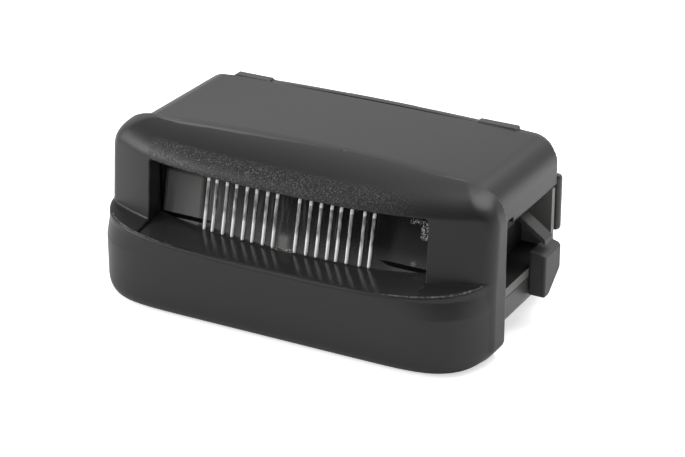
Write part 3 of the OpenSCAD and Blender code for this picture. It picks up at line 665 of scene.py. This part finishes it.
# Screws of the rear plate, zinc-plated steel; bulb caps of drawn aluminium; contacts and rails of stamped
# brass. The CAD pieces keep their shapes.
def metal(name, code, roughness, grain):
    """Bare metal: grain is the spacing of its drawing marks in millimetres."""
    mat = bpy.data.materials.new(name)
    mat.use_nodes = True
    tree = mat.node_tree
    shade = tree.nodes["Principled BSDF"]
    shade.inputs["Base Color"].default_value = colour(code)
    shade.inputs["Metallic"].default_value = 1.0
    shade.inputs["Roughness"].default_value = roughness
    place = add(tree, "ShaderNodeTexCoord", {})
    noise = add(tree, "ShaderNodeTexNoise", {"Scale": 1000 / grain, "Detail": 2.0},
                [("Vector", place, "Object")])
    bump = add(tree, "ShaderNodeBump", {"Distance": 0.000004}, [("Height", noise, "Fac")])
    tree.links.new(bump.outputs["Normal"], shade.inputs["Normal"])
    return mat


dress(["plate_screws"], metal("zinc_plated_steel", "#b9bbbd", 0.35, 0.4))
dress(["bulb_cap_left", "bulb_cap_right"], metal("drawn_aluminium", "#c9c9c4", 0.3, 0.3))
brass = metal("stamped_brass", "#b08d57", 0.3, 0.3)
dress(["contact_left", "contact_right", "rail_left", "rail_right"], brass)

# Bulb: clear glass of a festoon lamp, cemented into its caps. The CAD piece keeps its shape.
glass = bpy.data.materials.new("clear_glass")
glass.use_nodes = True
shade = glass.node_tree.nodes["Principled BSDF"]
shade.inputs["Base Color"].default_value = colour("#e8eef0")
shade.inputs["Roughness"].default_value = 0.03
shade.inputs["Alpha"].default_value = 0.3
dress(["bulb_glass"], glass)

# Studio: pale floor under the lamp, soft light from above and a camera matched to the photograph.
floor_mesh = bpy.data.meshes.new("floor")
floor_mesh.from_pydata([(-4, -4, 0), (4, -4, 0), (4, 4, 0), (-4, 4, 0)], [], [(0, 1, 2, 3)])
floor = bpy.data.objects.new("floor", floor_mesh)
bpy.context.scene.collection.objects.link(floor)
floor_mat = bpy.data.materials.new("pale_floor")
floor_mat.use_nodes = True
tree = floor_mat.node_tree
shade = tree.nodes["Principled BSDF"]
shade.inputs["Base Color"].default_value = (0.8, 0.8, 0.8, 1)
shade.inputs["Roughness"].default_value = 0.9
shade.inputs["Specular IOR Level"].default_value = 0.0


def seen(tree):
    """1 for camera, glossy and transmission rays, which see the studio's white."""
    path = add(tree, "ShaderNodeLightPath", {})
    both = add(tree, "ShaderNodeMath", {"operation": "MAXIMUM"},
               [(0, path, "Is Camera Ray"), (1, path, "Is Glossy Ray")])
    return add(tree, "ShaderNodeMath", {"operation": "MAXIMUM"},
               [(0, both, 0), (1, path, "Is Transmission Ray")])


# The floor's own glow makes it white to the camera; it falls off towards the front in reflections.
ground = add(tree, "ShaderNodeTexCoord", {})
axes = add(tree, "ShaderNodeSeparateXYZ", {}, [("Vector", ground, "Object")])
path = add(tree, "ShaderNodeLightPath", {})
behind = add(tree, "ShaderNodeMapRange", {"From Min": -0.06, "From Max": 0.1}, [("Value", axes, "Y")])
level = add(tree, "ShaderNodeMath", {"operation": "MAXIMUM"}, [(0, behind, 0), (1, path, "Is Camera Ray")])
share = add(tree, "ShaderNodeMath", {"operation": "MULTIPLY"}, [(0, seen(tree), 0), (1, level, 0)])
share = add(tree, "ShaderNodeMath", {"operation": "MULTIPLY", 1: 0.6}, [(0, share, 0)])
glow = add(tree, "ShaderNodeEmission", {}, [("Strength", share, 0)])
both = add(tree, "ShaderNodeAddShader", {}, [(0, shade, 0), (1, glow, 0)])
tree.links.new(both.outputs[0], tree.nodes["Material Output"].inputs["Surface"])
floor.data.materials.append(floor_mat)

world = bpy.data.worlds.new("studio")
bpy.context.scene.world = world
world.use_nodes = True
tree = world.node_tree
back = tree.nodes["Background"]
back.inputs["Color"].default_value = (0.73, 0.73, 0.73, 1)
# The room is lighter on the left. Reflections see a white wall behind and beside the lamp up to 30 degrees,
# dimmer on the right, and a darker room above and in front.
way = add(tree, "ShaderNodeTexCoord", {})
axes = add(tree, "ShaderNodeSeparateXYZ", {}, [("Vector", way, "Generated")])
room = add(tree, "ShaderNodeMapRange", {"From Min": -1.0, "To Min": 1.0, "To Max": 0.5},
           [("Value", axes, "X")])
tree.links.new(room.outputs[0], back.inputs["Strength"])
height = add(tree, "ShaderNodeMapRange",
             {"From Min": 0.45, "From Max": 0.75, "To Min": 1.0, "To Max": 0.18}, [("Value", axes, "Z")])
depth = add(tree, "ShaderNodeMapRange", {"From Min": -0.5, "From Max": 0.3, "To Min": 0.1},
            [("Value", axes, "Y")])
wall_light = add(tree, "ShaderNodeMath", {"operation": "MULTIPLY"}, [(0, height, 0), (1, depth, 0)])
side = add(tree, "ShaderNodeMapRange", {"From Min": 0.2, "From Max": 0.9, "To Min": 1.0, "To Max": 0.5},
           [("Value", axes, "X")])
wall_light = add(tree, "ShaderNodeMath", {"operation": "MULTIPLY"}, [(0, wall_light, 0), (1, side, 0)])
path = add(tree, "ShaderNodeLightPath", {})
wall_light = add(tree, "ShaderNodeMath", {"operation": "MAXIMUM"},
                 [(0, wall_light, 0), (1, path, "Is Camera Ray")])
white = add(tree, "ShaderNodeBackground", {"Color": (1, 1, 1, 1)}, [("Strength", wall_light, 0)])
either = add(tree, "ShaderNodeMixShader", {}, [(0, seen(tree), 0), (1, back, 0), (2, white, 0)])
tree.links.new(either.outputs[0], tree.nodes["World Output"].inputs["Surface"])


def lamp(name, place, aim, width, watts):
    """Soft square lamp at a place, turned to face a point."""
    data = bpy.data.lights.new(name, "AREA")
    data.size = width
    data.energy = watts
    obj = bpy.data.objects.new(name, data)
    obj.location = place
    x, y, z = [b - a for a, b in zip(place, aim)]
    obj.rotation_euler = (math.atan2(math.hypot(x, y), -z), 0, math.atan2(y, x) - math.pi / 2)
    bpy.context.scene.collection.objects.link(obj)
    return obj


centre = (0, 0, 0.02)
lamp("lamp_above", (0.25, 0.4, 0.92), centre, 0.7, 8.3)
lamp("lamp_left", (-0.85, -0.5, 0.5), centre, 0.6, 8)
lamp("lamp_right", (0.9, 0.1, 0.5), centre, 0.5, 0.5)

cam_data = bpy.data.cameras.new("camera")
cam_data.sensor_width = 36
cam_data.sensor_fit = "HORIZONTAL"
cam_data.lens = 129.65
camera = bpy.data.objects.new("camera", cam_data)
camera.location = (0.25898, -0.47562, 0.26702)
camera.rotation_euler = (math.radians(65.3), 0, math.radians(28.2))
bpy.context.scene.collection.objects.link(camera)
bpy.context.scene.camera = camera
bpy.context.scene.view_settings.view_transform = "Standard"
